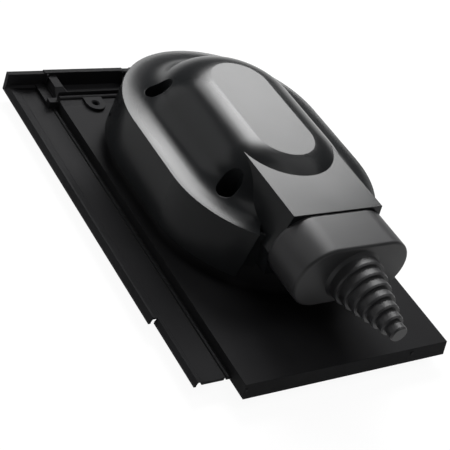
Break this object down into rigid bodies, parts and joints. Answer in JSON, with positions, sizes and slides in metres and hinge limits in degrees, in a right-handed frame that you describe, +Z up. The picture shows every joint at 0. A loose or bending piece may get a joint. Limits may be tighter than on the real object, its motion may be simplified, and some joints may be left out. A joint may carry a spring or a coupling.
{
  "type": "solar cable entry roof tile",
  "caption": "Flat interlocking roof tile with a screwed-on domed hood and a stepped rubber boot that leads solar cables through the roof.",
  "frame": {"origin": "below the middle of the outline seen from above, at the height of the hanging lugs' feet", "axes": "+Z up out of the roof, +Y up the roof slope towards the tile's head, +X to the right seen from the eaves; the cable boot faces -Y"},
  "size_m": [0.3, 0.5, 0.141],
  "materials": {
    "tile_plastic": "satin moulded polypropylene, black",
    "hood_plastic": "satin moulded polypropylene, black, a little smoother than the tile",
    "boot_rubber": "dark grey moulded rubber, dull",
    "screw_steel": "stainless steel",
    "washer_rubber": "black sealing rubber"
  },
  "bodies": {
    "root": {"base_tile": "tile_plastic", "hood": "hood_plastic", "cable_boot": "boot_rubber", "screw_front_left": "screw_steel", "screw_front_right": "screw_steel", "screw_rear_left": "screw_steel", "screw_rear_right": "screw_steel", "washer_front_left": "washer_rubber", "washer_front_right": "washer_rubber", "washer_rear_left": "washer_rubber", "washer_rear_right": "washer_rubber"}
  },
  "joints": []
}
